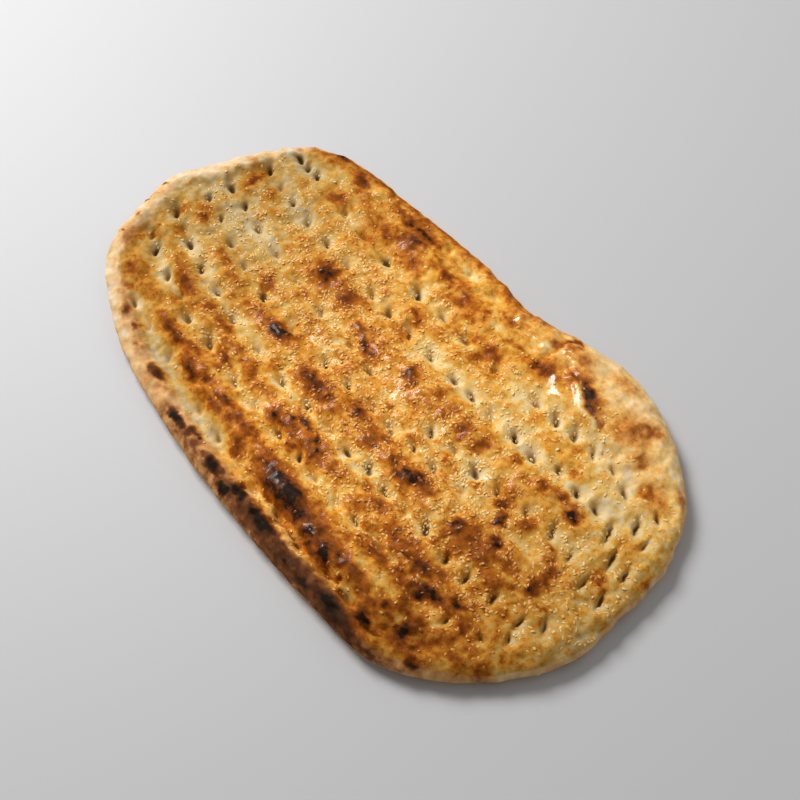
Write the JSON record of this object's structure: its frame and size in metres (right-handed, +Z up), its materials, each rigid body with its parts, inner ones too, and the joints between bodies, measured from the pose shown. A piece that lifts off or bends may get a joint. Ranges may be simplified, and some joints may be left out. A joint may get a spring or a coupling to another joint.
{
  "type": "flatbread",
  "caption": "Long oval leavened flatbread with a rounded rim, rows of finger pits, browned crust and sesame, lying flat on a level underside.",
  "frame": {"origin": "centre of the bounding box's floor, on the plane of the level flat that the underside rests on", "axes": "+X along the bread's length, from its flat pale end to its thicker end; +Y across it, towards the shoulder of the long side; +Z up, out of the top crust"},
  "size_m": [0.5475, 0.3167, 0.0248],
  "materials": {
    "crust": "satin"
  },
  "bodies": {
    "root": {"naan": "crust"}
  },
  "joints": []
}
